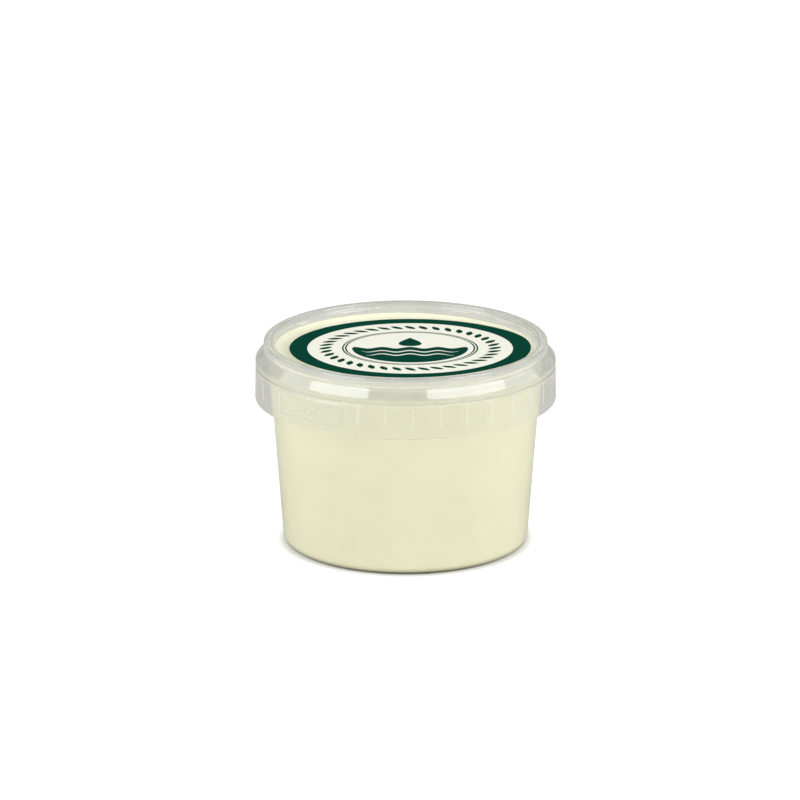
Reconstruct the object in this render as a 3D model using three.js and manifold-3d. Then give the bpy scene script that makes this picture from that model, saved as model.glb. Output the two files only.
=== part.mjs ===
// A round, lidded tub of yogurt: a tapered tub with a ribbed collar, the yogurt in it, a snap-on lid and a paper label.
// Millimetres, +Z up, the front at -Y. The origin is the centre of the circle that the tub stands on.
import * as THREE from "three";
import { mergeVertices } from "three/addons/utils/BufferGeometryUtils.js";
import Module from "manifold-3d";

// Driving dimensions
const COLLAR_DIAMETER = 113;
const OVERALL_HEIGHT = 78.2;
const BASE_RADIUS = 46; // where the outer wall would meet the table without its rounded heel
const WALL_TAPER = 0.074; // radius gained for each millimetre of height
const WALL = 0.7;
const RIB_COUNT = 34;
const FIRST_RIB_DEG = 2.7; // from the front, towards +X
const LABEL_WIDTH = 90.8; // the label is a little wider than it is deep
const LABEL_DEPTH = 78.8;
const YOGURT_LEVEL = 72;
const CLEARANCE = 0.2; // between the lid and the neck that it grips

// Tub
const HEEL_FILLET = 2.4;
const FOOT_INNER = BASE_RADIUS - 5;
const FOOT_RECESS = 0.5;
const FLOOR_TOP = FOOT_RECESS + 0.8;
const COLLAR_RADIUS = COLLAR_DIAMETER / 2;
const COLLAR_TOP = OVERALL_HEIGHT - 9.5;
const COLLAR_BOTTOM = COLLAR_TOP - 12.7;
const COLLAR_WALL = 0.9;
const COLLAR_FLARE = 0.2; // the collar is this much wider at its lower edge
const COLLAR_EDGE_FILLET = 0.5;
const FLANGE_UNDER = COLLAR_TOP - 0.9;
const RIB_BOTTOM = COLLAR_BOTTOM + 3.3;
const RIB_THICKNESS = 0.8;
const BEAD_WIDTH = 0.4;
const BEAD_HEIGHT = 1.3;

// Tear tab, a raised panel on the collar with an arrow on it
const TAB_DEG = -40;
const TAB_WIDTH = 30.6;
const TAB_BOTTOM = RIB_BOTTOM + 0.2;
const TAB_TOP = COLLAR_TOP - 0.6;
const TAB_CORNER = 1.6;
const TAB_RELIEF = 0.35;
const ARROW_RELIEF = 0.25;
const ARROW_LENGTH = 9;
const ARROW_WIDTH = 3.6;

// Lid
const SEAM = 0.3; // gap between the lid's edge and the collar
const LID_WALL = 0.9;
const CREST_OUTER = 53.25;
const CREST_INNER = 50.2;
const CREST_UNDER = OVERALL_HEIGHT - 1.1;
const CREST_OUTER_FILLET = 1.1;
const CREST_INNER_FILLET = 0.8;
const RIM_TOP = CREST_UNDER - CLEARANCE; // the top of the tub's neck
const SHOULDER_TOP = 74.5;
const SHOULDER_BOTTOM = 71.2;
const SHOULDER_FILLET = 0.7;
const STEP_HEIGHT = 75.6; // a small ledge half-way down the recess
const STEP_WIDTH = 0.35;
const PANEL_TOP = OVERALL_HEIGHT - 4.5;
const PANEL_WALL = 0.8;
const PANEL_RADIUS = 47.9; // the recess slopes down to the flat panel
const PANEL_FILLET = 0.9;

// Label and yogurt
const LABEL_THICKNESS = 0.2;
const LABEL_OFFSET_X = 1.7;
const LABEL_OFFSET_Y = 2.1;
const YOGURT_GAP = 0.3;
const MENISCUS = 0.6;

const SEGMENTS = 2 * RIB_COUNT;
const FILLET_STEPS = 3;

const wasm = await Module();
wasm.setup();

// Radius of the tub's outer wall, which runs on up as the neck under the lid
function wallRadius(z) {
  return BASE_RADIUS + WALL_TAPER * z;
}

// Corners are [radius, height] or [radius, height, fillet]. A filleted corner becomes a short curve.
function rounded(corners) {
  const points = corners.map(([r, z]) => new THREE.Vector2(r, z));
  return corners.flatMap(([, , fillet = 0], i) => {
    const corner = points[i];
    if (!fillet) return [corner];
    const toBefore = points[i - 1].clone().sub(corner).normalize();
    const toAfter = points[i + 1].clone().sub(corner).normalize();
    const halfAngle = Math.acos(toBefore.dot(toAfter)) / 2;
    const reach = fillet / Math.tan(halfAngle);
    const start = corner.clone().addScaledVector(toBefore, reach);
    const end = corner.clone().addScaledVector(toAfter, reach);
    return new THREE.QuadraticBezierCurve(start, corner, end).getPoints(FILLET_STEPS);
  });
}

// A solid turned about +Z, from an outline that runs anticlockwise from the axis to the axis, or round to its start
function turned(corners) {
  return new THREE.LatheGeometry(rounded(corners), SEGMENTS).rotateX(Math.PI / 2);
}

// Closed geometry to a solid that can be joined and cut, and back again
function solid(geometry) {
  const bare = geometry.clone();
  bare.deleteAttribute("normal");
  bare.deleteAttribute("uv");
  const merged = mergeVertices(bare, 1e-4);
  const triVerts = new Uint32Array(merged.index.array);
  return new wasm.Manifold(
    new wasm.Mesh({ numProp: 3, vertProperties: merged.attributes.position.array, triVerts }),
  );
}

function geometryOf(manifold) {
  const mesh = manifold.getMesh();
  const geometry = new THREE.BufferGeometry();
  geometry.setAttribute("position", new THREE.BufferAttribute(mesh.vertProperties, 3));
  geometry.setIndex(new THREE.BufferAttribute(mesh.triVerts, 1));
  geometry.computeVertexNormals();
  return geometry;
}

// Turns something that faces the front to an angle round the tub, positive towards +X
function facing(geometry, degrees) {
  return geometry.rotateZ(THREE.MathUtils.degToRad(degrees));
}

// Foot, heel, tapered wall, flange with the hanging collar, neck with its bead, then down the inside to the floor
function tubShell() {
  const beadRadius = wallRadius(RIM_TOP) + BEAD_WIDTH;
  const collarTopRadius = COLLAR_RADIUS - COLLAR_FLARE;
  return turned([
    [0, FOOT_RECESS],
    [FOOT_INNER - FOOT_RECESS, FOOT_RECESS],
    [FOOT_INNER, 0],
    [BASE_RADIUS, 0, HEEL_FILLET],
    [wallRadius(FLANGE_UNDER), FLANGE_UNDER],
    [collarTopRadius - COLLAR_WALL, FLANGE_UNDER],
    [COLLAR_RADIUS - COLLAR_WALL, COLLAR_BOTTOM],
    [COLLAR_RADIUS, COLLAR_BOTTOM],
    [collarTopRadius, COLLAR_TOP, COLLAR_EDGE_FILLET],
    [wallRadius(COLLAR_TOP), COLLAR_TOP],
    [wallRadius(RIM_TOP - BEAD_HEIGHT), RIM_TOP - BEAD_HEIGHT],
    [beadRadius, RIM_TOP - BEAD_HEIGHT / 2],
    [beadRadius, RIM_TOP],
    [wallRadius(RIM_TOP) - WALL, RIM_TOP],
    [wallRadius(FLOOR_TOP) - WALL, FLOOR_TOP, HEEL_FILLET - WALL],
    [0, FLOOR_TOP],
  ]);
}

// One radial web under the flange, let half-way into the wall, the flange and the collar
function rib(degrees) {
  const top = FLANGE_UNDER + WALL / 2;
  const outer = COLLAR_RADIUS - COLLAR_FLARE - COLLAR_WALL / 2;
  const side = new THREE.Shape([
    new THREE.Vector2(wallRadius(RIB_BOTTOM) - WALL / 2, RIB_BOTTOM),
    new THREE.Vector2(outer, RIB_BOTTOM),
    new THREE.Vector2(outer, top),
    new THREE.Vector2(wallRadius(top) - WALL / 2, top),
  ]);
  const web = new THREE.ExtrudeGeometry(side, { depth: RIB_THICKNESS, bevelEnabled: false });
  web.translate(0, 0, -RIB_THICKNESS / 2).rotateX(Math.PI / 2).rotateZ(-Math.PI / 2);
  return facing(web, degrees);
}

// The ribs are evenly spaced all round, with none behind the tear tab
function ribAngles() {
  const pitch = 360 / RIB_COUNT;
  const tabReach = THREE.MathUtils.radToDeg(Math.asin(TAB_WIDTH / COLLAR_DIAMETER));
  const fromTab = (degrees) => THREE.MathUtils.euclideanModulo(degrees - TAB_DEG + 180, 360) - 180;
  const angles = Array.from({ length: RIB_COUNT }, (_, i) => FIRST_RIB_DEG + i * pitch);
  return angles.filter((degrees) => Math.abs(fromTab(degrees)) > tabReach);
}

// A flat outline, drawn as seen from the tab's front, pushed through the collar and cut to a band that stands proud
function reliefOnCollar(shape, relief) {
  const inner = COLLAR_RADIUS - COLLAR_WALL;
  const block = new THREE.ExtrudeGeometry(shape, { depth: COLLAR_DIAMETER, bevelEnabled: false, curveSegments: 3 });
  block.rotateX(Math.PI / 2).translate(0, 0, (TAB_TOP + TAB_BOTTOM) / 2);
  const band = turned([
    [inner, COLLAR_BOTTOM],
    [COLLAR_RADIUS + relief, COLLAR_BOTTOM],
    [COLLAR_RADIUS - COLLAR_FLARE + relief, COLLAR_TOP],
    [inner, COLLAR_TOP],
    [inner, COLLAR_BOTTOM],
  ]);
  return solid(band).intersect(solid(facing(block, TAB_DEG)));
}

function tabOutline() {
  const x = TAB_WIDTH / 2 - TAB_CORNER;
  const y = (TAB_TOP - TAB_BOTTOM) / 2 - TAB_CORNER;
  const quarter = Math.PI / 2;
  const shape = new THREE.Shape();
  [[x, y], [-x, y], [-x, -y], [x, -y]].forEach(([cx, cy], i) =>
    shape.absarc(cx, cy, TAB_CORNER, i * quarter, (i + 1) * quarter),
  );
  return shape;
}

function arrowOutline() {
  const tip = ARROW_LENGTH / 2;
  const barb = ARROW_WIDTH / 2;
  const neck = tip - ARROW_WIDTH;
  const shaft = ARROW_WIDTH / 6;
  return new THREE.Shape([
    new THREE.Vector2(-tip, -shaft),
    new THREE.Vector2(neck, -shaft),
    new THREE.Vector2(neck, -barb),
    new THREE.Vector2(tip, 0),
    new THREE.Vector2(neck, barb),
    new THREE.Vector2(neck, shaft),
    new THREE.Vector2(-tip, shaft),
  ]);
}

function tub() {
  const ribs = ribAngles().map((degrees) => solid(rib(degrees)));
  const tab = reliefOnCollar(tabOutline(), TAB_RELIEF);
  const arrow = reliefOnCollar(arrowOutline(), TAB_RELIEF + ARROW_RELIEF);
  return geometryOf([...ribs, tab, arrow].reduce((body, piece) => body.add(piece), solid(tubShell())));
}

// Panel underside, slope and plug inside the neck, channel over the rim, flared skirt, crest, then down to the panel
function lid() {
  const skirtOuter = COLLAR_RADIUS - COLLAR_FLARE;
  const skirtBottom = COLLAR_TOP + SEAM;
  const plugRadius = (z) => wallRadius(z) - WALL - CLEARANCE;
  return turned([
    [0, PANEL_TOP - PANEL_WALL],
    [PANEL_RADIUS, PANEL_TOP - PANEL_WALL],
    [plugRadius(STEP_HEIGHT), STEP_HEIGHT - PANEL_WALL / 2],
    [plugRadius(CREST_UNDER), CREST_UNDER],
    [CREST_OUTER - LID_WALL, CREST_UNDER],
    [CREST_OUTER - LID_WALL, SHOULDER_TOP - LID_WALL / 2],
    [skirtOuter - LID_WALL, SHOULDER_BOTTOM - LID_WALL / 2],
    [skirtOuter - LID_WALL, skirtBottom],
    [skirtOuter, skirtBottom],
    [skirtOuter, SHOULDER_BOTTOM, SHOULDER_FILLET],
    [CREST_OUTER, SHOULDER_TOP, SHOULDER_FILLET],
    [CREST_OUTER, OVERALL_HEIGHT, CREST_OUTER_FILLET],
    [CREST_INNER, OVERALL_HEIGHT, CREST_INNER_FILLET],
    [CREST_INNER - STEP_WIDTH, STEP_HEIGHT],
    [CREST_INNER - 2 * STEP_WIDTH, STEP_HEIGHT],
    [PANEL_RADIUS, PANEL_TOP, PANEL_FILLET],
    [0, PANEL_TOP],
  ]);
}

// A thin oval, which the mesh's position lays on the lid's panel
function label() {
  const oval = new THREE.Shape().absellipse(0, 0, LABEL_WIDTH / 2, LABEL_DEPTH / 2, 0, 2 * Math.PI);
  return new THREE.ExtrudeGeometry(oval, { depth: LABEL_THICKNESS, bevelEnabled: false, curveSegments: SEGMENTS });
}

// Fills the tub from its floor, with a small meniscus where it meets the wall
function yogurt() {
  const inside = (z) => wallRadius(z) - WALL - YOGURT_GAP;
  return turned([
    [0, FLOOR_TOP],
    [inside(FLOOR_TOP), FLOOR_TOP, HEEL_FILLET],
    [inside(YOGURT_LEVEL + MENISCUS), YOGURT_LEVEL + MENISCUS],
    [inside(YOGURT_LEVEL) - 2 * MENISCUS, YOGURT_LEVEL, MENISCUS],
    [0, YOGURT_LEVEL],
  ]);
}

function named(name, geometry, color, roughness, opacity = 1) {
  const material = new THREE.MeshStandardMaterial({ color, roughness, metalness: 0, opacity, transparent: opacity < 1 });
  const mesh = new THREE.Mesh(geometry, material);
  mesh.name = name;
  return mesh;
}

const labelMesh = named("label", label(), 0x0b4234, 0.55);
labelMesh.position.set(LABEL_OFFSET_X, LABEL_OFFSET_Y, PANEL_TOP);

const yogurtTub = new THREE.Group();
yogurtTub.add(
  named("tub", tub(), 0xe3e4d8, 0.35, 0.45),
  named("yogurt", yogurt(), 0xece9c8, 0.6),
  named("lid", lid(), 0xdfe1d8, 0.3, 0.5),
  labelMesh,
);

export default yogurtTub;
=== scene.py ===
"""Looks of a lidded tub of yogurt: milky moulded tub and lid, the yogurt and a printed paper label."""

import math

import bmesh
import bpy
import numpy as np
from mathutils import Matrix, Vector


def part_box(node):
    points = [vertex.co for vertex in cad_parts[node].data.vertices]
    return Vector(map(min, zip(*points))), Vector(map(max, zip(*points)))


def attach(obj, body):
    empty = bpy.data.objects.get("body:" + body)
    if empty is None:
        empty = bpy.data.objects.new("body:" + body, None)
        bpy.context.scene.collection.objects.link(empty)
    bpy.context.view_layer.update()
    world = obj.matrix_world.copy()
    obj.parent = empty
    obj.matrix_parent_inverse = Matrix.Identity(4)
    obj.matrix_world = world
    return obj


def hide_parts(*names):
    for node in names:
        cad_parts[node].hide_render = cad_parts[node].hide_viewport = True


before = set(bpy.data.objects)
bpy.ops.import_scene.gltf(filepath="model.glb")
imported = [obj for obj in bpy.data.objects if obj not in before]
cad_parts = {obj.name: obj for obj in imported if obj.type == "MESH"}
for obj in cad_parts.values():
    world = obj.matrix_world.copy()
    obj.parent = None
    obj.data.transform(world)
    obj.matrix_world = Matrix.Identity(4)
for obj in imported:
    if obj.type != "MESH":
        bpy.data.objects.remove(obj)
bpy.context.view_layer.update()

bl_info = {
    "name": "Yogurt Tub",
    "version": (1, 0, 0),
    "blender": (4, 5, 0),
    "location": "View3D > Sidebar > Yogurt Tub",
    "description": "Builds a lidded tub of yogurt round its packed solids",
    "category": "Add Mesh",
}

MM = 0.001
BODY = "root"

TUB_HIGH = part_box("tub")[1]
LID_LOW, LID_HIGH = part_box("lid")
LABEL_LOW, LABEL_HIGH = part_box("label")
YOGURT_LOW, YOGURT_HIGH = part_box("yogurt")

# Heights and gaps of the closure, all measured from the plane that the tub stands on.
SEAM = 0.3 * MM
COLLAR_TOP = LID_LOW.z - SEAM
COLLAR_BOTTOM = 56.0 * MM
RIM_TOP = TUB_HIGH.z
PANEL_TOP = LABEL_LOW.z
SHOULDER_TOP = 74.5 * MM
SHOULDER_BOTTOM = 71.2 * MM
STEP_HEIGHT = 76.0 * MM

# The tub's wall, foot and collar.
HEEL_FILLET = 2.4 * MM
FOOT_INNER = 41.0 * MM
FOOT_RECESS = 0.5 * MM
FLOOR_TOP = YOGURT_LOW.z
COLLAR_WALL = 0.9 * MM
COLLAR_FLARE = 0.2 * MM
FLANGE = 0.9 * MM
BEAD_WIDTH = 0.4 * MM
BEAD_HEIGHT = 1.3 * MM
COLLAR_LOWER_ROUND = 0.3 * MM
COLLAR_UPPER_ROUND = 0.5 * MM
COLLAR_SKIN = 0.1 * MM
COLLAR_STEP = 0.25 * MM

# The ribs between the wall and the collar.
RIB_BOTTOM = 59.3 * MM
RIB_THICKNESS = 0.45 * MM
RIB_FIT = 0.05 * MM

# The tear tab on the collar and its arrow.
TAB_LOW = 59.5 * MM
TAB_HIGH = 68.1 * MM
TAB_CORNER = 1.6 * MM
TAB_RELIEF = 0.35 * MM
TAB_LIP = 0.12 * MM
TAB_EDGE = 0.45 * MM
ARROW_RELIEF = 0.25 * MM
ARROW_LENGTH = 9.0 * MM
ARROW_WIDTH = 3.6 * MM
ARROW_SHAFT = ARROW_WIDTH / 6
ARROW_EDGE = 0.7 * TAB_EDGE

# The lid's rim, and the dish that its panel makes: flat in the middle and curved up at its edge.
LID_WALL = 0.9 * MM
PANEL_WALL = 0.8 * MM
CREST_UNDER = 77.1 * MM
STEP_WIDTH = 0.35 * MM
STEP_ROUND = 0.12 * MM
SHOULDER_ROUND = 0.7 * MM
RIM_OUTER_ROUND = 1.1 * MM
RIM_INNER_ROUND = 0.8 * MM
PLUG_FIT = 0.2 * MM
LID_STEP = 0.4 * MM
LID_STEP_MARGIN = 1.0 * MM
DISH_FLAT = 44.5 * MM
DISH_FILLET = 6.5 * MM

# How milky the plastic is where it is thick or bent, as a share of the way from thin plastic to thick.
MILK = "milk"
TAB_MILK = 0.42
ARROW_MILK = 1.0
FLANGE_MILK = 0.115
FLANGE_THICKENS = (1.2 * FLANGE, 0.5 * FLANGE)
HEM_MILK = 0.57
HEM = 0.5 * MM
RIM_MILK = 0.07
RIM_THICKENS = (49.0 * MM, 50.5 * MM)
FLARE_MILK = 0.5
SKIRT_MILK = 0.12
EDGE_MILK = 0.3

# Natural polypropylene: its refraction, how much it blurs, the ripple and clouds left by the mould, and the
# share of the light that its milk scatters on through it.
PLASTIC_IOR = 1.49
PLASTIC_BLUR = 0.05
RIPPLE_SIZE = 3.0 * MM
RIPPLE_DEPTH = 0.02 * MM
RIPPLE_STRENGTH = 0.2
CLOUD_SIZE = 9.0 * MM
CLOUD_RANGE = (0.85, 1.15)
SCATTERED_ON = 0.5

# Stirred yogurt, coated paper and painted board: the size of their mottling or grain, the tone left in its
# darkest spots, and their gloss.
MOTTLE_SIZE = 14.0 * MM
MOTTLE_TONE = 0.96
YOGURT_ROUGHNESS = 0.6
YOGURT_IOR = 1.35
FIBRE_SIZE = 0.6 * MM
FIBRE_DEPTH = 0.02 * MM
FIBRE_STRENGTH = 0.15
FIBRE_TONE = 0.95
BOARD_ROUGHNESS = 0.9

# The part of a noise texture's values that nearly all of it lies in.
NOISE_LOW = 0.3
NOISE_HIGH = 0.7

# How far the yogurt reaches into the wall that it wets, so that no gap of air shows.
WETTING = 0.15 * MM
MENISCUS = 0.6 * MM

# The ring round the tub's foot where a shadow is painted into the floor's own light, and the share of that
# light that is left there.
PAINTED_FOOT_SHADE = (45.0 * MM, 49.5 * MM)
PAINTED_FOOT_SHADE_LEFT = 0.4

INK_THICKNESS = 0.02 * MM
WHITE = (1.0, 1.0, 1.0, 1.0)
BLACK = (0.0, 0.0, 0.0, 1.0)
WELD = 0.001 * MM
SMOOTH_ANGLE = math.radians(32)
FILLET_STEPS = 6


def linear(hex_colour):
    """Linear RGBA of an sRGB colour written as #RRGGBB."""
    channels = [int(hex_colour[i:i + 2], 16) / 255 for i in (1, 3, 5)]
    return tuple(c / 12.92 if c <= 0.04045 else ((c + 0.055) / 1.055) ** 2.4 for c in channels) + (1.0,)


def length(name, description, default):
    """A length setting in metres."""
    return bpy.props.FloatProperty(
        name=name, description=description, default=default, min=0.0, precision=5, unit="LENGTH")


def colour(name, description, hex_colour):
    """A colour setting, from its sRGB hex value."""
    return bpy.props.FloatVectorProperty(
        name=name, description=description, default=linear(hex_colour), size=4, min=0.0, max=1.0,
        subtype="COLOR")


def angle_of(name, description, degrees):
    """An angle setting, from its value in degrees."""
    return bpy.props.FloatProperty(
        name=name, description=description, default=math.radians(degrees), subtype="ANGLE")


def watts(name, description, default):
    """A lamp's power setting."""
    return bpy.props.FloatProperty(name=name, description=description, default=default, min=0.0, unit="POWER")


class TubSettings(bpy.types.PropertyGroup):
    """Sizes and colour of the tub."""

    collar_radius: length("Collar radius", "Outer radius of the collar at its lower edge", TUB_HIGH.x)
    base_radius: length("Base radius", "Radius of the wall carried down to the floor", 46.0 * MM)
    wall: length("Wall", "Thickness of the side wall", 0.7 * MM)
    taper: bpy.props.FloatProperty(
        name="Taper", description="How much the wall's radius grows with height", default=0.074, min=0.0)
    rib_count: bpy.props.IntProperty(
        name="Rib places", description="Places for ribs round the collar", default=34, min=3)
    first_rib: angle_of("First rib", "Angle of one rib from the front", 2.7)
    tab_angle: angle_of("Tab", "Angle of the tear tab from the front", -40.0)
    tab_width: length("Tab width", "Straight width of the tear tab", 30.6 * MM)
    tint: colour("Plastic", "Milky tint of the tub's plastic", "#F0F2EA")
    deep: colour("Thick plastic", "Tint of what is seen through the tub's thickest plastic", "#F7F8F9")


class LidSettings(bpy.types.PropertyGroup):
    """Sizes and colour of the lid."""

    skirt_radius: length("Skirt radius", "Outer radius of the skirt", LID_HIGH.x)
    rim_outer: length("Rim outer radius", "Outer radius of the raised rim", 53.25 * MM)
    rim_inner: length("Rim inner radius", "Inner radius of the rim's flat crest", 50.2 * MM)
    panel_radius: length("Panel radius", "Where the panel and the slope of the recess would meet", 47.5 * MM)
    tint: colour("Plastic", "Milky tint of the lid's plastic", "#F0F2EA")
    deep: colour("Thick plastic", "Tint of what is seen through the lid's thickest plastic", "#D6D9DE")


class YogurtSettings(bpy.types.PropertyGroup):
    """Level and colour of the yogurt."""

    level: length("Level", "Height of the yogurt's surface", YOGURT_HIGH.z - MENISCUS)
    cream: colour("Cream", "Colour of the yogurt", "#F7F5D2")


class LabelSettings(bpy.types.PropertyGroup):
    """Sizes and colours of the label."""

    width: length("Width", "Width of the oval label", LABEL_HIGH.x - LABEL_LOW.x)
    depth: length("Depth", "Depth of the oval label, from front to back", LABEL_HIGH.y - LABEL_LOW.y)
    ring: bpy.props.FloatProperty(
        name="Ring", description="Inner edge of the outer ring, as a share of the label's size", default=0.85,
        min=0.5, max=1.0, subtype="FACTOR")
    pool: bpy.props.FloatProperty(
        name="Pool", description="Size of the pool in the middle, as a share of the label's", default=0.48,
        min=0.1, max=0.8, subtype="FACTOR")
    leaf_count: bpy.props.IntProperty(name="Leaves", description="Leaves in the wreath", default=40, min=3)
    paper: colour("Paper", "Colour of the paper", "#E1E1D5")
    ink: colour("Ink", "Colour of the print", "#0A3C2F")


class StageSettings(bpy.types.PropertyGroup):
    """Floor, light and camera."""

    left_power: watts("Left softbox", "Power of the left overhead softbox", 3.7)
    right_power: watts("Right softbox", "Power of the right overhead softbox", 4.4)
    left_fill_power: watts("Left fill", "Power of the large fill light at the left", 28.8)
    right_fill_power: watts("Right fill", "Power of the large fill light at the right", 31.2)
    left_wing_power: watts("Left wing", "Power of the dim softbox past the left softbox", 1.2)
    right_wing_power: watts("Right wing", "Power of the dim softbox past the right softbox", 1.1)
    back_fill_power: watts("Back fill", "Power of the low fill light behind the tub", 8.0)
    back_power: watts("Back panel", "Power of the white panel behind the stage", 2.5)
    room: bpy.props.FloatProperty(
        name="Room light", description="Brightness of the room round the stage", default=0.3, min=0.0)
    floor: colour("Floor", "Colour of the floor", "#B5B5B1")
    glow: bpy.props.FloatProperty(
        name="Floor glow", description="Light that the floor shows by itself", default=0.64, min=0.0)


def add(tree, kind, inputs=None, **settings):
    """Adds a node, sets its settings, then links or sets each of its inputs."""
    node = tree.nodes.new(kind)
    for name, value in settings.items():
        setattr(node, name, value)
    for key, value in (inputs or {}).items():
        if isinstance(value, bpy.types.NodeSocket):
            tree.links.new(value, node.inputs[key])
        else:
            node.inputs[key].default_value = value
    return node


def new_tree(name, inputs):
    """An empty Geometry Nodes tree with named inputs, and the sockets that give them."""
    tree = bpy.data.node_groups.new(name, "GeometryNodeTree")
    tree.interface.new_socket("Geometry", in_out="INPUT", socket_type="NodeSocketGeometry")
    for label, kind in inputs.items():
        tree.interface.new_socket(label, in_out="INPUT", socket_type=kind)
    tree.interface.new_socket("Geometry", in_out="OUTPUT", socket_type="NodeSocketGeometry")
    return tree, add(tree, "NodeGroupInput").outputs


def close_tree(tree, geometry, material):
    """Ends a tree in plain geometry with one material."""
    plain = add(tree, "GeometryNodeRealizeInstances", {"Geometry": geometry}).outputs[0]
    dressed = add(tree, "GeometryNodeSetMaterial", {"Geometry": plain, "Material": material}).outputs[0]
    add(tree, "NodeGroupOutput", {"Geometry": dressed})


def turned_tree():
    """Turns an outline, given as a chain of points in the XZ plane, round the Z axis."""
    tree, given = new_tree("turned outline", {"Segments": "NodeSocketInt", "Material": "NodeSocketMaterial"})
    outline = given["Geometry"]
    count = add(tree, "GeometryNodeAttributeDomainSize", {"Geometry": outline}).outputs["Point Count"]
    columns = add(tree, "FunctionNodeIntegerMath", {0: given["Segments"], 1: 1}, operation="ADD").outputs[0]
    grid = add(tree, "GeometryNodeMeshGrid", {"Vertices X": columns, "Vertices Y": count}).outputs["Mesh"]
    index = add(tree, "GeometryNodeInputIndex").outputs[0]
    row = add(tree, "FunctionNodeIntegerMath", {0: index, 1: count}, operation="MODULO").outputs[0]
    column = add(tree, "FunctionNodeIntegerMath", {0: index, 1: count}, operation="DIVIDE_FLOOR").outputs[0]
    place = add(tree, "GeometryNodeInputPosition").outputs[0]
    point = add(
        tree, "GeometryNodeSampleIndex", {"Geometry": outline, "Value": place, "Index": row},
        data_type="FLOAT_VECTOR", domain="POINT").outputs[0]
    share = add(tree, "ShaderNodeMath", {0: column, 1: given["Segments"]}, operation="DIVIDE").outputs[0]
    angle = add(tree, "ShaderNodeMath", {0: share, 1: math.tau}, operation="MULTIPLY").outputs[0]
    turned = add(
        tree, "ShaderNodeVectorRotate", {"Vector": point, "Angle": angle}, rotation_type="Z_AXIS").outputs[0]
    skin = add(tree, "GeometryNodeSetPosition", {"Geometry": grid, "Position": turned}).outputs[0]
    welded = add(tree, "GeometryNodeMergeByDistance", {"Geometry": skin, "Distance": WELD}).outputs[0]
    close_tree(tree, welded, given["Material"])
    return tree


def repeat_tree():
    """Repeats one piece round the Z axis, and leaves out those within a gap."""
    tree, given = new_tree("repeat round the axis", {
        "Count": "NodeSocketInt",
        "First angle": "NodeSocketFloat",
        "Gap angle": "NodeSocketFloat",
        "Gap half width": "NodeSocketFloat",
        "Material": "NodeSocketMaterial",
    })
    points = add(tree, "GeometryNodePoints", {"Count": given["Count"]}).outputs[0]
    index = add(tree, "GeometryNodeInputIndex").outputs[0]
    share = add(tree, "ShaderNodeMath", {0: index, 1: given["Count"]}, operation="DIVIDE").outputs[0]
    angle = add(
        tree, "ShaderNodeMath", {0: share, 1: math.tau, 2: given["First angle"]},
        operation="MULTIPLY_ADD").outputs[0]
    from_gap = add(tree, "ShaderNodeMath", {0: angle, 1: given["Gap angle"]}, operation="SUBTRACT").outputs[0]
    wrapped = add(tree, "ShaderNodeMath", {0: from_gap, 1: math.pi, 2: -math.pi}, operation="WRAP").outputs[0]
    away = add(tree, "ShaderNodeMath", {0: wrapped}, operation="ABSOLUTE").outputs[0]
    kept = add(
        tree, "FunctionNodeCompare", {0: away, 1: given["Gap half width"]},
        data_type="FLOAT", operation="GREATER_EQUAL").outputs[0]
    turn = add(tree, "ShaderNodeCombineXYZ", {"Z": angle}).outputs[0]
    copies = add(tree, "GeometryNodeInstanceOnPoints", {
        "Points": points, "Selection": kept, "Instance": given["Geometry"], "Rotation": turn}).outputs[0]
    close_tree(tree, copies, given["Material"])
    return tree


def grown(name, mesh, tree, values):
    """A plain mesh object: what a Geometry Nodes tree makes of a mesh, with its faces turned outwards."""
    piece = bpy.data.objects.new(name, mesh)
    bpy.context.scene.collection.objects.link(piece)
    modifier = piece.modifiers.new("grown", "NODES")
    modifier.node_group = tree
    for socket in tree.interface.items_tree:
        if socket.in_out == "INPUT" and socket.name in values:
            modifier[socket.identifier] = values[socket.name]
    evaluated = piece.evaluated_get(bpy.context.evaluated_depsgraph_get())
    plain = bpy.data.meshes.new_from_object(evaluated)
    piece.modifiers.remove(modifier)
    piece.data = plain
    bpy.data.meshes.remove(mesh)
    plain.name = name
    if not plain.polygons:
        raise RuntimeError(f"{name} came out empty")
    face_outwards(plain)
    return piece


def face_outwards(mesh):
    """Closes seams, turns faces outwards and sets which edges look rounded."""
    work = bmesh.new()
    work.from_mesh(mesh)
    bmesh.ops.remove_doubles(work, verts=work.verts, dist=WELD)
    bmesh.ops.dissolve_degenerate(work, edges=work.edges, dist=WELD)
    bmesh.ops.recalc_face_normals(work, faces=work.faces)
    work.to_mesh(mesh)
    work.free()
    mesh.shade_smooth()
    mesh.set_sharp_from_angle(angle=SMOOTH_ANGLE)


def stands_for(piece, node):
    """Ties a finished piece to the tub's body and hides the solid that it stands for."""
    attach(piece, BODY)
    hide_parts(node)


def outline(corners):
    """Points along an outline of (radius, height, fillet) corners, with each fillet drawn as a curve."""
    points = []
    for i, (radius, height, fillet) in enumerate(corners):
        corner = Vector((radius, height))
        if not fillet:
            points.append(corner)
            continue
        before = Vector(corners[i - 1][:2]) - corner
        after = Vector(corners[i + 1][:2]) - corner
        reach = fillet / math.tan(before.angle(after) / 2)
        start = corner + before.normalized() * reach
        end = corner + after.normalized() * reach
        for k in range(FILLET_STEPS + 1):
            t = k / FILLET_STEPS
            points.append(start.lerp(corner, t).lerp(corner.lerp(end, t), t))
    return points


def divided(points, radius_limit, step):
    """Adds points along the stretches that lie outside a radius, so that they stay straight when shaded."""
    dense = [points[0]]
    for start, end in zip(points, points[1:]):
        parts = 1
        if max(start.x, end.x) > radius_limit:
            parts = max(1, math.ceil((end - start).length / step))
        dense.extend(start.lerp(end, k / parts) for k in range(1, parts + 1))
    return dense


def chain_mesh(name, points):
    """A chain of edges in the XZ plane."""
    mesh = bpy.data.meshes.new(name)
    edges = [(i, i + 1) for i in range(len(points) - 1)]
    mesh.from_pydata([(p.x, 0.0, p.y) for p in points], edges, [])
    return mesh


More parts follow.
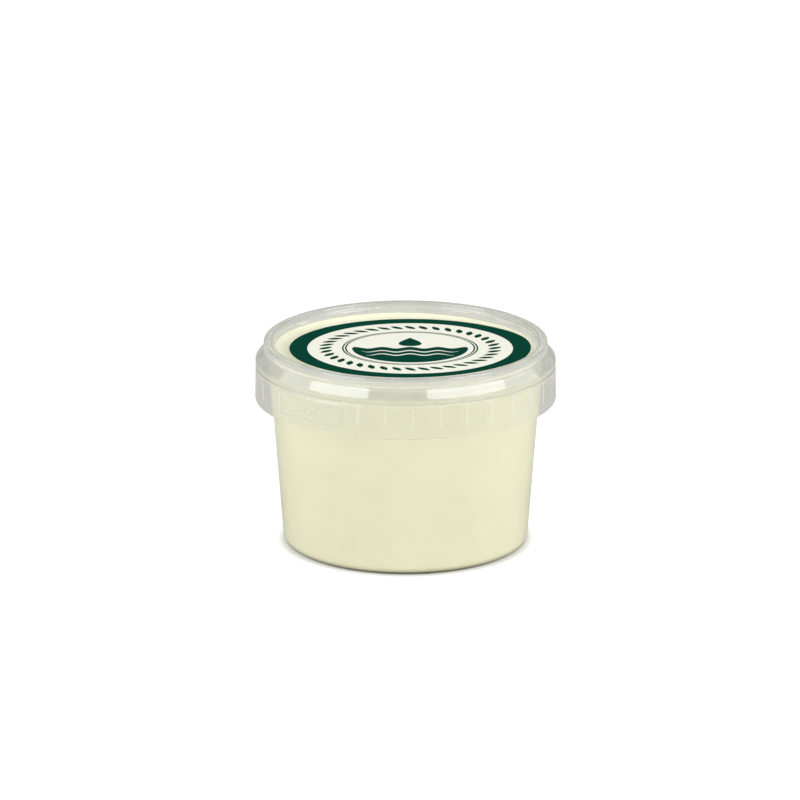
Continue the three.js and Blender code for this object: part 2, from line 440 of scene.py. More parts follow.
def turned(name, corners, segments, material, dense_from=None, step=None):
    """A turned piece from the corners of its outline, divided in steps outside a radius if one is given."""
    points = outline(corners)
    if dense_from is not None:
        points = divided(points, dense_from, step)
    return grown(name, chain_mesh(name, points), turned_tree(), {"Segments": segments, "Material": material})


def plate(work, points, low, high):
    """Adds a flat plate with the given outline, between two heights."""
    floor = [work.verts.new((x, y, low)) for x, y in points]
    roof = [work.verts.new((x, y, high)) for x, y in points]
    work.faces.new(floor)
    work.faces.new(roof)
    for i in range(len(points)):
        j = (i + 1) % len(points)
        work.faces.new((floor[i], floor[j], roof[j], roof[i]))


def wall_radius(tub, height):
    """Outer radius of the tapered wall at a height."""
    return tub.base_radius + tub.taper * height


def smooth_step(low, high, values):
    """0 below low, 1 above high, and a smooth rise between."""
    t = np.clip((values - low) / (high - low), 0.0, 1.0)
    return t * t * (3.0 - 2.0 * t)


def places(mesh):
    """The mesh's points as an array."""
    points = np.empty(len(mesh.vertices) * 3)
    mesh.vertices.foreach_get("co", points)
    return points.reshape(-1, 3)


def set_milk(mesh, amounts):
    """Writes how thick, and so how milky, the plastic is at each point."""
    mesh.attributes.new(MILK, "FLOAT", "POINT").data.foreach_set("value", amounts)


def outside_tab(tub, across, up):
    """Distance outside the tear tab's rounded outline, negative within it."""
    half = np.array([tub.tab_width / 2, (TAB_HIGH - TAB_LOW) / 2]) - TAB_CORNER
    past = np.stack([np.abs(across), np.abs(up)], axis=1) - half
    return np.hypot(*np.maximum(past, 0.0).T) + np.minimum(past.max(axis=1), 0.0) - TAB_CORNER


def inside_arrow(across, up):
    """Distance inside the arrow's outline, negative outside it."""
    tip = ARROW_LENGTH / 2
    neck = tip - ARROW_WIDTH
    head = np.minimum(across - neck, (tip - across) / 2 - np.abs(up))
    shaft = np.minimum.reduce([across + tip, neck + TAB_EDGE - across, ARROW_SHAFT - np.abs(up)])
    return np.maximum(head, shaft)


def raise_tab(tub, mesh):
    """Raises the tear tab, its lip and its arrow on the collar, and makes thick plastic milky."""
    points = places(mesh)
    height = points[:, 2]
    radius = np.hypot(points[:, 0], points[:, 1])
    angle = np.arctan2(points[:, 0], -points[:, 1]) - tub.tab_angle
    across = tub.collar_radius * np.sin(angle)
    up = height - (TAB_LOW + TAB_HIGH) / 2
    outside = outside_tab(tub, across, up)
    facing = (np.cos(angle) > 0) & (radius > tub.collar_radius - COLLAR_FLARE - COLLAR_SKIN)
    facing &= (height > COLLAR_BOTTOM + 2 * HEM) & (height < COLLAR_TOP - SEAM)

    below, above = FLANGE_THICKENS
    flange = FLANGE_MILK * smooth_step(COLLAR_TOP - below, COLLAR_TOP - above, height)
    hem = HEM_MILK * (1.0 - smooth_step(COLLAR_BOTTOM + 0.5 * HEM, COLLAR_BOTTOM + HEM, height))
    hem = np.where(radius > tub.collar_radius - 0.5 * COLLAR_WALL, hem, 0.0)
    tab = np.exp(-(outside / TAB_EDGE) ** 2) + TAB_MILK * smooth_step(-TAB_EDGE, TAB_EDGE, -outside)
    inside = inside_arrow(across, up)
    arrow = ARROW_MILK * np.exp(-(inside / ARROW_EDGE) ** 2)
    set_milk(mesh, np.maximum.reduce([flange, hem, np.where(facing, np.maximum(tab, arrow), 0.0)]))

    lift = TAB_RELIEF * (1.0 - smooth_step(-TAB_EDGE, TAB_EDGE, outside))
    lift += TAB_LIP * np.exp(-((outside + 2 * TAB_EDGE) / TAB_EDGE) ** 2)
    lift += ARROW_RELIEF * smooth_step(-TAB_EDGE / 2, TAB_EDGE / 2, inside)
    scale = np.where(facing, (radius + lift) / np.maximum(radius, MM), 1.0)
    points[:, :2] *= scale[:, None]
    mesh.vertices.foreach_set("co", points.ravel())
    mesh.update()


def milkiness(tree, thin_haze, thick_haze):
    """How much of the light the plastic scatters: more where it is thick, and cloudy all over."""
    place = add(tree, "ShaderNodeTexCoord").outputs["Object"]
    clouds = add(tree, "ShaderNodeTexNoise", {"Vector": place, "Scale": 1 / CLOUD_SIZE, "Detail": 2.0})
    cloudy = add(tree, "ShaderNodeMapRange", {
        "Value": clouds.outputs[0], "From Min": NOISE_LOW, "From Max": NOISE_HIGH,
        "To Min": CLOUD_RANGE[0], "To Max": CLOUD_RANGE[1]})
    thick = add(tree, "ShaderNodeAttribute", attribute_name=MILK).outputs["Fac"]
    depth = add(tree, "ShaderNodeMapRange", {"Value": thick, "To Min": thin_haze, "To Max": thick_haze})
    return add(
        tree, "ShaderNodeMath", {0: depth.outputs[0], 1: cloudy.outputs[0]},
        operation="MULTIPLY", use_clamp=True).outputs[0]


def close_plastic(tree, body, window):
    """Ends a plastic's shader: it casts hardly any shadow, because light comes through it all round."""
    path = add(tree, "ShaderNodeLightPath").outputs
    soft = add(
        tree, "ShaderNodeMath", {0: path["Is Shadow Ray"], 1: path["Is Diffuse Ray"]},
        operation="MAXIMUM").outputs[0]
    pane = add(tree, "ShaderNodeBsdfTransparent", {"Color": (window, window, window, 1.0)}).outputs[0]
    surface = add(tree, "ShaderNodeMixShader", {0: soft, 1: body, 2: pane}).outputs[0]
    add(tree, "ShaderNodeOutputMaterial", {"Surface": surface})


def empty_material(name):
    """A material with no nodes yet."""
    material = bpy.data.materials.new(name)
    material.use_nodes = True
    material.node_tree.nodes.clear()
    return material


def moulded_polypropylene(name, tint, deep, thin_haze, thick_haze, gloss, window):
    """Natural polypropylene, injection moulded.

    It is milky and lets light through, most of all where it is thin, and greys what is behind it where it is
    thick. It has a soft gloss and a faint ripple left by the mould.
    """
    material = empty_material(name)
    tree = material.node_tree
    place = add(tree, "ShaderNodeTexCoord").outputs["Object"]
    ripple = add(tree, "ShaderNodeTexNoise", {"Vector": place, "Scale": 1 / RIPPLE_SIZE, "Detail": 1.0})
    normal = add(tree, "ShaderNodeBump", {
        "Height": ripple.outputs[0], "Strength": RIPPLE_STRENGTH, "Distance": RIPPLE_DEPTH}).outputs[0]
    haze = milkiness(tree, thin_haze, thick_haze)
    thick = add(tree, "ShaderNodeAttribute", attribute_name=MILK).outputs["Fac"]
    passed = add(tree, "ShaderNodeMix", {"Factor": thick, 6: WHITE, 7: deep}, data_type="RGBA").outputs[2]
    through = add(tree, "ShaderNodeBsdfRefraction", {
        "Color": passed, "Roughness": PLASTIC_BLUR, "IOR": PLASTIC_IOR, "Normal": normal}).outputs[0]
    shine = add(tree, "ShaderNodeBsdfGlossy", {
        "Color": WHITE, "Roughness": gloss, "Normal": normal}).outputs[0]
    mirror = add(tree, "ShaderNodeFresnel", {"IOR": PLASTIC_IOR, "Normal": normal}).outputs[0]
    clear = add(tree, "ShaderNodeMixShader", {0: mirror, 1: through, 2: shine}).outputs[0]
    front = add(tree, "ShaderNodeBsdfDiffuse", {"Color": tint, "Normal": normal}).outputs[0]
    back = add(tree, "ShaderNodeBsdfTranslucent", {"Color": tint, "Normal": normal}).outputs[0]
    milk = add(tree, "ShaderNodeMixShader", {0: SCATTERED_ON, 1: front, 2: back}).outputs[0]
    body = add(tree, "ShaderNodeMixShader", {0: haze, 1: clear, 2: milk}).outputs[0]
    close_plastic(tree, body, window)
    return material


def thin_polypropylene(name, tint, thin_haze, thick_haze, window):
    """Natural polypropylene, moulded as thin webs: all but clear, and light only along their milky edges."""
    material = empty_material(name)
    tree = material.node_tree
    haze = milkiness(tree, thin_haze, thick_haze)
    clear = add(tree, "ShaderNodeBsdfTransparent", {"Color": WHITE}).outputs[0]
    milk = add(tree, "ShaderNodeBsdfDiffuse", {"Color": tint}).outputs[0]
    body = add(tree, "ShaderNodeMixShader", {0: haze, 1: clear, 2: milk}).outputs[0]
    close_plastic(tree, body, window)
    return material


def stirred_yogurt(name, cream):
    """Stirred yogurt: dense, matte and even, with a faint mottling where it lies against the wall."""
    material = bpy.data.materials.new(name)
    material.use_nodes = True
    tree = material.node_tree
    shader = tree.nodes["Principled BSDF"]
    place = add(tree, "ShaderNodeTexCoord").outputs["Object"]
    mottle = add(tree, "ShaderNodeTexNoise", {"Vector": place, "Scale": 1 / MOTTLE_SIZE, "Detail": 3.0})
    shade = add(tree, "ShaderNodeMapRange", {
        "Value": mottle.outputs[0], "From Min": NOISE_LOW, "From Max": NOISE_HIGH,
        "To Min": MOTTLE_TONE}).outputs[0]
    tone = add(tree, "ShaderNodeMix", {"Factor": shade, 6: BLACK, 7: cream}, data_type="RGBA")
    tree.links.new(tone.outputs[2], shader.inputs["Base Color"])
    shader.inputs["Roughness"].default_value = YOGURT_ROUGHNESS
    shader.inputs["IOR"].default_value = YOGURT_IOR
    return material


def coated_paper(name, tone, roughness):
    """Coated label paper, offset printed: a smooth satin face with a faint fibre grain and uneven ink."""
    material = bpy.data.materials.new(name)
    material.use_nodes = True
    tree = material.node_tree
    shader = tree.nodes["Principled BSDF"]
    place = add(tree, "ShaderNodeTexCoord").outputs["Object"]
    fibre = add(tree, "ShaderNodeTexNoise", {"Vector": place, "Scale": 1 / FIBRE_SIZE, "Detail": 3.0})
    shade = add(tree, "ShaderNodeMapRange", {
        "Value": fibre.outputs[0], "From Min": NOISE_LOW, "From Max": NOISE_HIGH,
        "To Min": FIBRE_TONE}).outputs[0]
    tint = add(tree, "ShaderNodeMix", {"Factor": shade, 6: BLACK, 7: tone}, data_type="RGBA")
    normal = add(tree, "ShaderNodeBump", {
        "Height": fibre.outputs[0], "Strength": FIBRE_STRENGTH, "Distance": FIBRE_DEPTH}).outputs[0]
    tree.links.new(tint.outputs[2], shader.inputs["Base Color"])
    tree.links.new(normal, shader.inputs["Normal"])
    shader.inputs["Roughness"].default_value = roughness
    shader.inputs["Specular IOR Level"].default_value = 0.0
    return material


def studio_floor(name, tone, glow):
    """Plain painted board, matte: white by its own light, but for a painted shadow, a narrow ring round the
    tub's foot where that light is dimmed.
    """
    material = bpy.data.materials.new(name)
    material.use_nodes = True
    tree = material.node_tree
    shader = tree.nodes["Principled BSDF"]
    shader.inputs["Base Color"].default_value = tone
    shader.inputs["Roughness"].default_value = BOARD_ROUGHNESS
    shader.inputs["Specular IOR Level"].default_value = 0.0
    place = add(tree, "ShaderNodeTexCoord").outputs["Object"]
    away = add(tree, "ShaderNodeVectorMath", {0: place}, operation="LENGTH").outputs["Value"]
    # Painted shadow: the floor's own light is dimmed in a ring round the tub's foot.
    light = add(tree, "ShaderNodeMapRange", {
        "Value": away, "From Min": PAINTED_FOOT_SHADE[0], "From Max": PAINTED_FOOT_SHADE[1],
        "To Min": PAINTED_FOOT_SHADE_LEFT * glow, "To Max": glow}, interpolation_type="SMOOTHSTEP").outputs[0]
    seen = add(tree, "ShaderNodeLightPath").outputs["Is Camera Ray"]
    strength = add(tree, "ShaderNodeMath", {0: seen, 1: light}, operation="MULTIPLY").outputs[0]
    shader.inputs["Emission Color"].default_value = WHITE
    tree.links.new(strength, shader.inputs["Emission Strength"])
    return material


class YOGURT_OT_stage(bpy.types.Operator):
    """Sets the floor, the softboxes, the room light and the camera"""

    bl_idname = "yogurt_tub.stage"
    bl_label = "Stage"

    FLOOR_HALF = 3.0
    # Each lamp's place, its pitch and turn in degrees, and its width and depth, in metres.
    SOFTBOXES = {
        "left_power": ((-0.665, -0.13, 1.0), (0.0, -38.7), (0.77, 0.24)),
        "right_power": ((0.639, -0.132, 1.0), (0.0, 36.5), (1.02, 0.24)),
        "left_fill_power": ((-1.79, -1.26, 1.1), (66.0, -55.0), (1.6, 1.4)),
        "right_fill_power": ((1.79, -1.26, 1.1), (66.0, 55.0), (1.6, 1.4)),
        "left_wing_power": ((-0.926, 0.31, 0.77), (54.5, -108.6), (0.5, 0.42)),
        "right_wing_power": ((0.92, 0.43, 0.71), (58.0, 114.7), (0.5, 0.42)),
        "back_fill_power": ((0.0, 1.6, 0.25), (-84.0, 0.0), (1.6, 0.4)),
        "back_power": ((0.0, 2.6, 0.9), (-75.0, 0.0), (4.0, 1.2)),
    }
    UNREFLECTED = ("back_fill_power",)
    CAMERA_PLACE = (-2.1 * MM, -1915.25 * MM, 639.45 * MM)
    CAMERA_PITCH = math.radians(16.993)
    LENS = 239.7
    SENSOR = 36.0
    CLEAR_LAYERS = 40

    def execute(self, context):
        scene = context.scene
        stage = scene.tub_stage
        half = self.FLOOR_HALF
        mesh = bpy.data.meshes.new("floor")
        corners = [(-half, -half, 0.0), (half, -half, 0.0), (half, half, 0.0), (-half, half, 0.0)]
        mesh.from_pydata(corners, [], [(0, 1, 2, 3)])
        mesh.materials.append(studio_floor("matte painted board", stage.floor, stage.glow))
        floor = bpy.data.objects.new("floor", mesh)
        scene.collection.objects.link(floor)

        for name, (place, (pitch, turn), (width, depth)) in self.SOFTBOXES.items():
            light = bpy.data.lights.new(name, "AREA")
            light.shape = "RECTANGLE"
            light.size = width
            light.size_y = depth
            light.energy = getattr(stage, name)
            lamp = bpy.data.objects.new(name, light)
            lamp.location = place
            lamp.rotation_euler = (math.radians(pitch), 0.0, math.radians(turn))
            lamp.visible_glossy = name not in self.UNREFLECTED
            lamp.visible_transmission = name not in self.UNREFLECTED
            scene.collection.objects.link(lamp)

        world = bpy.data.worlds.new("room")
        world.use_nodes = True
        background = world.node_tree.nodes["Background"]
        background.inputs["Color"].default_value = WHITE
        tree = world.node_tree
        seen = add(tree, "ShaderNodeLightPath").outputs["Is Camera Ray"]
        strength = add(tree, "ShaderNodeMapRange", {"Value": seen, "To Min": stage.room}).outputs[0]
        tree.links.new(strength, background.inputs["Strength"])
        scene.world = world

        camera = bpy.data.cameras.new("camera")
        camera.lens = self.LENS
        camera.sensor_width = self.SENSOR
        holder = bpy.data.objects.new("camera", camera)
        holder.location = self.CAMERA_PLACE
        holder.rotation_euler = (math.pi / 2 - self.CAMERA_PITCH, 0.0, 0.0)
        scene.collection.objects.link(holder)
        scene.camera = holder
        scene.view_settings.view_transform = "Standard"
        scene.cycles.transparent_max_bounces = self.CLEAR_LAYERS
        return {"FINISHED"}


class YOGURT_OT_fill(bpy.types.Operator):
    """Fills the tub with yogurt up to its level"""

    bl_idname = "yogurt_tub.fill"
    bl_label = "Yogurt"

    SEGMENTS = 192
    HEEL = 2.2 * MM
    CLIMB = 1.5 * MM
    CLIMB_WIDTH = 3.6 * MM
    LEAN = (-0.83, 0.55)

    def lean(self, mesh, level):
        """Leaves the yogurt highest on the wall to one side, as after a tilt."""
        points = places(mesh)
        radius = np.maximum(np.hypot(points[:, 0], points[:, 1]), MM)
        share = 0.5 + 0.5 * points[:, :2] @ np.array(self.LEAN) / radius
        points[:, 2] -= (1.0 - share) * np.maximum(points[:, 2] - level, 0.0)
        mesh.vertices.foreach_set("co", points.ravel())
        mesh.update()

    def execute(self, context):
        tub = context.scene.tub
        yogurt = context.scene.tub_yogurt
        inset = tub.wall - WETTING
        low = FLOOR_TOP - WETTING
        brim = yogurt.level + self.CLIMB
        corners = [
            (0.0, low, 0),
            (wall_radius(tub, low) - inset, low, self.HEEL),
            (wall_radius(tub, brim) - inset, brim, 0),
            (wall_radius(tub, yogurt.level) - inset - self.CLIMB_WIDTH, yogurt.level, MENISCUS),
            (0.0, yogurt.level, 0),
        ]
        piece = turned("yogurt_fill", corners, self.SEGMENTS, stirred_yogurt("stirred yogurt", yogurt.cream))
        self.lean(piece.data, yogurt.level)
        stands_for(piece, "yogurt")
        return {"FINISHED"}


class YOGURT_OT_tub(bpy.types.Operator):
    """Turns the tub with its foot, wall, collar and rim, and raises the tear tab"""

    bl_idname = "yogurt_tub.tub"
    bl_label = "Tub"

    SEGMENTS = 600
    SOFT = 0.2 * MM
    THIN_HAZE = 0.07
    THICK_HAZE = 0.6
    GLOSS = 0.06
    WINDOW = 0.985

    def execute(self, context):
        tub = context.scene.tub
        flange_under = COLLAR_TOP - FLANGE
        collar_top_radius = tub.collar_radius - COLLAR_FLARE
        bead = wall_radius(tub, RIM_TOP) + BEAD_WIDTH
        soft = self.SOFT
        corners = [
            (0.0, FOOT_RECESS, 0),
            (FOOT_INNER - FOOT_RECESS, FOOT_RECESS, soft),
            (FOOT_INNER, 0.0, soft),
            (tub.base_radius, 0.0, HEEL_FILLET),
            (wall_radius(tub, flange_under), flange_under, soft),
            (collar_top_radius - COLLAR_WALL, flange_under, soft),
            (tub.collar_radius - COLLAR_WALL, COLLAR_BOTTOM, soft),
            (tub.collar_radius, COLLAR_BOTTOM, COLLAR_LOWER_ROUND),
            (collar_top_radius, COLLAR_TOP, COLLAR_UPPER_ROUND),
            (wall_radius(tub, COLLAR_TOP), COLLAR_TOP, soft),
            (wall_radius(tub, RIM_TOP - BEAD_HEIGHT), RIM_TOP - BEAD_HEIGHT, 0),
            (bead, RIM_TOP - BEAD_HEIGHT / 2, soft),
            (bead, RIM_TOP, soft),
            (wall_radius(tub, RIM_TOP) - tub.wall, RIM_TOP, soft),
            (wall_radius(tub, FLOOR_TOP) - tub.wall, FLOOR_TOP, HEEL_FILLET - tub.wall),
            (0.0, FLOOR_TOP, 0),
        ]
        plastic = moulded_polypropylene(
            "natural polypropylene tub", tub.tint, tub.deep,
            self.THIN_HAZE, self.THICK_HAZE, self.GLOSS, self.WINDOW)
        collar_face = collar_top_radius - COLLAR_SKIN / 2
        piece = turned("tub_shell", corners, self.SEGMENTS, plastic, collar_face, COLLAR_STEP)
        raise_tab(tub, piece.data)
        stands_for(piece, "tub")
        return {"FINISHED"}


class YOGURT_OT_ribs(bpy.types.Operator):
    """Repeats the ribs that hold the collar, all round but behind the tear tab"""

    bl_idname = "yogurt_tub.ribs"
    bl_label = "Ribs"

    ROUND = 0.6 * MM
    FROM_COLLAR = (0.6 * MM, 0.5 * MM, 0.35 * MM, 0.2 * MM, 0.1 * MM, 0.0)
    MILKY_EDGE = (0.2 * MM, 0.6 * MM)
    THIN_HAZE = 0.0
    THICK_HAZE = 0.5
    WINDOW = 0.985

    def rib(self, tub, edge):
        """One rib at the front: a thin web from the wall to the collar, rounded at its lower outer corner."""
        top = COLLAR_TOP - FLANGE - RIB_FIT
        slope = COLLAR_FLARE / (COLLAR_TOP - COLLAR_BOTTOM)
        columns = [[(wall_radius(tub, z) + RIB_FIT, z) for z in (RIB_BOTTOM, top)]]
        for gap in self.FROM_COLLAR:
            low = RIB_BOTTOM + self.ROUND - math.sqrt(self.ROUND ** 2 - (self.ROUND - gap) ** 2)
            columns.append([(edge - slope * (z - COLLAR_BOTTOM) - gap, z) for z in (low, top)])
        half = RIB_THICKNESS / 2
        work = bmesh.new()
        loops = []
        for low, high in columns:
            around = ((-half, low), (half, low), (half, high), (-half, high))
            loops.append([work.verts.new((x, -radius, z)) for x, (radius, z) in around])
        for one, two in zip(loops, loops[1:]):
            for i in range(4):
                j = (i + 1) % 4
                work.faces.new((one[i], one[j], two[j], two[i]))
        work.faces.new(loops[0])
        work.faces.new(loops[-1])
        return work

    def execute(self, context):
        tub = context.scene.tub
        edge = tub.collar_radius - COLLAR_WALL - RIB_FIT
        work = self.rib(tub, edge)
        mesh = bpy.data.meshes.new("rib")
        work.to_mesh(mesh)
        work.free()
        plastic = thin_polypropylene(
            "natural polypropylene ribs", WHITE, self.THIN_HAZE, self.THICK_HAZE, self.WINDOW)
        piece = grown("tub_ribs", mesh, repeat_tree(), {
            "Count": tub.rib_count,
            "First angle": tub.first_rib,
            "Gap angle": tub.tab_angle,
            "Gap half width": math.asin(tub.tab_width / 2 / tub.collar_radius),
            "Material": plastic,
        })
        points = places(piece.data)
        from_collar = edge - np.hypot(points[:, 0], points[:, 1])
        set_milk(piece.data, 1.0 - smooth_step(*self.MILKY_EDGE, from_collar))
        stands_for(piece, "tub")
        return {"FINISHED"}


class YOGURT_OT_lid(bpy.types.Operator):
    """Turns the lid with its recessed panel, rim, shoulder and skirt"""

    bl_idname = "yogurt_tub.lid"
    bl_label = "Lid"

    SEGMENTS = 288
    SOFT = 0.2 * MM
    THIN_HAZE = 0.15
    THICK_HAZE = 0.2
    GLOSS = 0.07
    WINDOW = 0.98

    def execute(self, context):
        tub = context.scene.tub
        lid = context.scene.tub_lid
        plug = tub.wall + PLUG_FIT
        inside = lid.rim_outer - LID_WALL
        skirt_inside = lid.skirt_radius - LID_WALL
        low = LID_LOW.z
        soft = self.SOFT
        corners = [
            (0.0, PANEL_TOP - PANEL_WALL, 0),
            (lid.panel_radius, PANEL_TOP - PANEL_WALL, DISH_FILLET),
            (wall_radius(tub, STEP_HEIGHT) - plug, STEP_HEIGHT - PANEL_WALL, soft),
            (wall_radius(tub, CREST_UNDER) - plug, CREST_UNDER, soft),
            (inside, CREST_UNDER, soft),
            (inside, SHOULDER_TOP - LID_WALL / 2, soft),
            (skirt_inside, SHOULDER_BOTTOM - LID_WALL / 2, soft),
            (skirt_inside, low, soft),
            (lid.skirt_radius, low, soft),
            (lid.skirt_radius, SHOULDER_BOTTOM, SHOULDER_ROUND),
            (lid.rim_outer, SHOULDER_TOP, SHOULDER_ROUND),
            (lid.rim_outer, LID_HIGH.z, RIM_OUTER_ROUND),
            (lid.rim_inner, LID_HIGH.z, RIM_INNER_ROUND),
            (lid.rim_inner - STEP_WIDTH, STEP_HEIGHT, STEP_ROUND),
            (lid.rim_inner - 2 * STEP_WIDTH, STEP_HEIGHT, STEP_ROUND),
            (lid.panel_radius, PANEL_TOP, DISH_FILLET),
            (0.0, PANEL_TOP, 0),
        ]
        plastic = moulded_polypropylene(
            "natural polypropylene lid", lid.tint, lid.deep,
            self.THIN_HAZE, self.THICK_HAZE, self.GLOSS, self.WINDOW)
        dense_from = lid.panel_radius - LID_STEP_MARGIN
        piece = turned("lid_shell", corners, self.SEGMENTS, plastic, dense_from, LID_STEP)
        points = places(piece.data)
        height = points[:, 2]
        radius = np.hypot(points[:, 0], points[:, 1])
        rim = RIM_MILK * smooth_step(*RIM_THICKENS, radius)
        milk_at = {
            low + 0.5 * HEM: EDGE_MILK,
            low + HEM: SKIRT_MILK,
            SHOULDER_BOTTOM - HEM: SKIRT_MILK,
            SHOULDER_BOTTOM: FLARE_MILK,
            SHOULDER_TOP: FLARE_MILK,
            SHOULDER_TOP + HEM: 0.0,
        }
        side = np.interp(height, list(milk_at), list(milk_at.values()))
        side = np.where(radius > inside - HEM, side, 0.0)
        set_milk(piece.data, np.maximum(rim, side))
        stands_for(piece, "lid")
        return {"FINISHED"}


class YOGURT_OT_label(bpy.types.Operator):
    """Lays the oval paper label on the lid and prints its ring, wreath, drop and pool"""

    bl_idname = "yogurt_tub.label"
    bl_label = "Label"

    SEGMENTS = 192
    SATIN = 0.5
    PAPER_EDGE = 0.05 * MM
    BEND_STEP = 0.5 * MM
    FINE_RINGS = (0.525, 0.55)
    FINE_WIDTH = 0.6 * MM
    WREATH = 0.70
    LEAF_LENGTH = 6.4 * MM
    LEAF_WIDTH = 2.6 * MM
    LEAF_TURN = math.radians(38)
    LEAF_TAPER = 0.8
    LEAF_STEPS = 7
    DROP_LENGTH = 13.0 * MM
    DROP_WIDTH = 9.5 * MM
    DROP_CENTRE = 9.5 * MM
    DROP_SWELL = 0.65
    DROP_TAPER = 1.5
    DROP_STEPS = 48
    WAVE_LENGTH = 10.5 * MM
    WAVE_RISE = 1.2 * MM
    WAVE_WIDTH = 1.3 * MM
    WAVE_TAPER = 4
    WAVE_TIP = 0.15
    WAVE_STEPS = 60
    POOL_LEVEL = 0.5 * MM
    POOL_LINES = (-5.0 * MM, -10.0 * MM)
    LINE_MARGIN = 3.0 * MM

    def ring(self, inner, outer, low, high):
        """Outline of a flat ring."""
        return [(inner, low, 0), (outer, low, 0), (outer, high, 0), (inner, high, 0), (inner, low, 0)]

    def leaf(self):
        """Outline of one leaf, turned to lean along the wreath."""
        half = []
        for k in range(self.LEAF_STEPS + 1):
            t = k / self.LEAF_STEPS
            reach = self.LEAF_WIDTH / 2 * math.sin(math.pi * t) ** self.LEAF_TAPER
            half.append((reach, (t - 0.5) * self.LEAF_LENGTH))
        around = half + [(-x, y) for x, y in half[-2:0:-1]]
        c, s = math.cos(self.LEAF_TURN), math.sin(self.LEAF_TURN)
        return [(c * x - s * y, s * x + c * y) for x, y in around]

    def drop(self):
        """Outline of a falling drop."""
        turns = [math.tau * k / self.DROP_STEPS for k in range(self.DROP_STEPS)]
        return [(
            self.DROP_SWELL * self.DROP_WIDTH * math.sin(t) * math.sin(t / 2) ** self.DROP_TAPER,
            self.DROP_CENTRE + self.DROP_LENGTH / 2 * math.cos(t),
        ) for t in turns]

    def wave(self, x):
        """Height of the ripples at a place across the label."""
        return self.WAVE_RISE * math.cos(math.tau * x / self.WAVE_LENGTH)

    def pool(self, radius):
        """Outline of a round pool, cut off by its rippled surface."""
        half = math.sqrt(radius ** 2 - self.POOL_LEVEL ** 2)
        steps = [half * (2 * k / self.WAVE_STEPS - 1) for k in range(1, self.WAVE_STEPS)]
        surface = [(x, self.POOL_LEVEL + self.wave(x)) for x in steps]
        below = [math.pi * k / self.WAVE_STEPS for k in range(self.WAVE_STEPS + 1)]
        return surface + [(radius * math.cos(t), -radius * math.sin(t)) for t in below]

    def ripple(self, radius, height):
        """Outline of one ripple line in the pool."""
        half = math.sqrt(radius ** 2 - height ** 2) - self.LINE_MARGIN
        upper, lower = [], []
        for k in range(self.WAVE_STEPS + 1):
            x = half * (2 * k / self.WAVE_STEPS - 1)
            thick = self.WAVE_WIDTH / 2 * max(self.WAVE_TIP, 1 - (x / half) ** self.WAVE_TAPER)
            upper.append((x, height + self.wave(x) + thick))
            lower.append((x, height + self.wave(x) - thick))
        return upper + lower[::-1]

    def printed(self, name, outlines, low, high, material):
        """A piece of flat print from its outlines."""
        work = bmesh.new()
        for points in outlines:
            plate(work, points, low, high)
        mesh = bpy.data.meshes.new(name)
        work.to_mesh(mesh)
        work.free()
        mesh.materials.append(material)
        face_outwards(mesh)
        piece = bpy.data.objects.new(name, mesh)
        bpy.context.scene.collection.objects.link(piece)
        return piece

    def execute(self, context):
        label = context.scene.tub_label
        middle = (LABEL_LOW + LABEL_HIGH) / 2
        squash = label.depth / label.width
        radius = label.width / 2
        edge = self.PAPER_EDGE
        top = LABEL_HIGH.z
        ink_top = top + INK_THICKNESS
        paper = coated_paper("coated label paper", label.paper, self.SATIN)
        ink = coated_paper("green offset ink", label.ink, self.SATIN)

        pieces = [turned("label_paper", [
            (0.0, LABEL_LOW.z, 0),
            (radius, LABEL_LOW.z, 0),
            (radius, top, edge),
            (0.0, top, 0),
        ], self.SEGMENTS, paper, 0.0, self.BEND_STEP)]

        rings = {"label_ring": (label.ring * radius, radius - edge)}
        for i, share in enumerate(self.FINE_RINGS):
            rings[f"label_line_{i + 1}"] = (share * radius, share * radius + self.FINE_WIDTH)
        for name, (inner, outer) in rings.items():
            corners = self.ring(inner, outer, top, ink_top)
            pieces.append(turned(name, corners, self.SEGMENTS, ink, 0.0, self.BEND_STEP))

        work = bmesh.new()
        plate(work, [(x, y - self.WREATH * radius) for x, y in self.leaf()], top, ink_top)
        mesh = bpy.data.meshes.new("leaf")
        work.to_mesh(mesh)
        work.free()
        pieces.append(grown("label_wreath", mesh, repeat_tree(), {
            "Count": label.leaf_count,
            "First angle": 0.0,
            "Gap angle": 0.0,
            "Gap half width": 0.0,
            "Material": ink,
        }))

        pool = label.pool * radius
        pieces.append(self.printed("label_drop_and_pool", [self.drop(), self.pool(pool)], top, ink_top, ink))
        ripples = [self.ripple(pool, height) for height in self.POOL_LINES]
        pieces.append(self.printed("label_ripples", ripples, ink_top, ink_top + INK_THICKNESS, paper))

        for piece in pieces:
            for vertex in piece.data.vertices:
                vertex.co.x += middle.x
                vertex.co.y = vertex.co.y * squash + middle.y
                past = max(0.0, vertex.co.xy.length - DISH_FLAT)
                vertex.co.z += past ** 2 / (2 * DISH_FILLET)
            stands_for(piece, "label")
        return {"FINISHED"}


class YOGURT_PT_panel(bpy.types.Panel):
    """Lists the settings and the steps that build the tub"""

    bl_idname = "YOGURT_PT_panel"
    bl_label = "Yogurt Tub"
    bl_space_type = "VIEW_3D"
    bl_region_type = "UI"
    bl_category = "Yogurt Tub"

    def draw(self, context):
        for name, group in SETTINGS.items():
            box = self.layout.box()
            settings = getattr(context.scene, name)
            for key in group.__annotations__:
                box.prop(settings, key)
        for step in STEPS:
            self.layout.operator(step.bl_idname)


SETTINGS = {
    "tub": TubSettings,
    "tub_lid": LidSettings,
    "tub_yogurt": YogurtSettings,
    "tub_label": LabelSettings,
    "tub_stage": StageSettings,
}
STEPS = (YOGURT_OT_stage, YOGURT_OT_fill, YOGURT_OT_tub, YOGURT_OT_ribs, YOGURT_OT_lid, YOGURT_OT_label)


def register():
    """Adds the settings, steps and panel to Blender."""
    for group in SETTINGS.values():
        bpy.utils.register_class(group)
    for step in STEPS:
        bpy.utils.register_class(step)
    bpy.utils.register_class(YOGURT_PT_panel)
    for name, group in SETTINGS.items():
        setattr(bpy.types.Scene, name, bpy.props.PointerProperty(type=group))


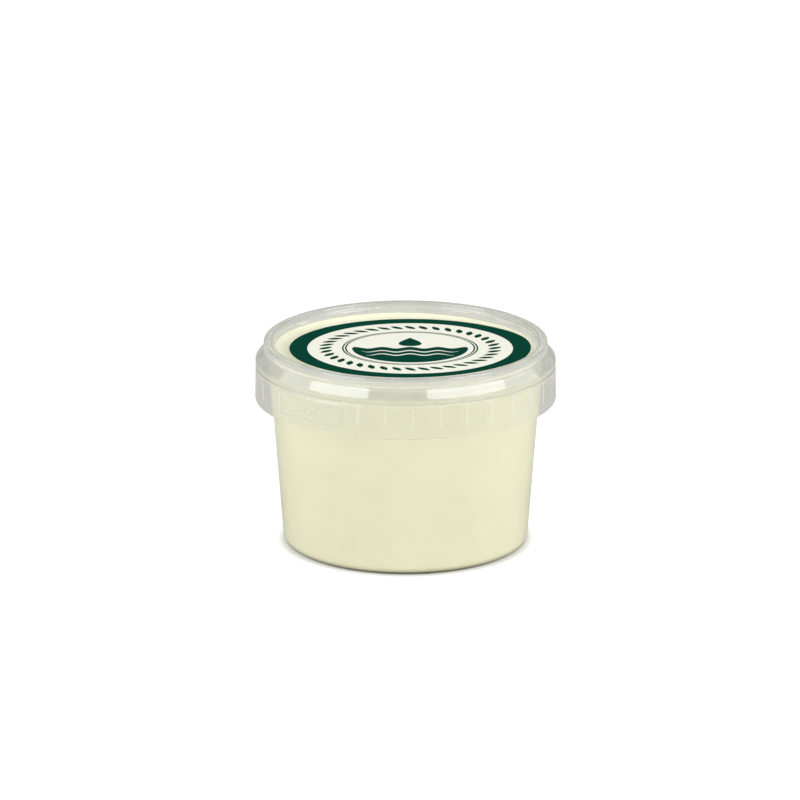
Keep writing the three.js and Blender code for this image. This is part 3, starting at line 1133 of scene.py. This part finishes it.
def unregister():
    """Takes them out again."""
    for name in SETTINGS:
        delattr(bpy.types.Scene, name)
    bpy.utils.unregister_class(YOGURT_PT_panel)
    for step in reversed(STEPS):
        bpy.utils.unregister_class(step)
    for group in reversed(SETTINGS.values()):
        bpy.utils.unregister_class(group)


def main():
    register()
    bpy.ops.yogurt_tub.stage()
    bpy.ops.yogurt_tub.fill()
    bpy.ops.yogurt_tub.tub()
    bpy.ops.yogurt_tub.ribs()
    bpy.ops.yogurt_tub.lid()
    bpy.ops.yogurt_tub.label()


if __name__ == "__main__":
    main()
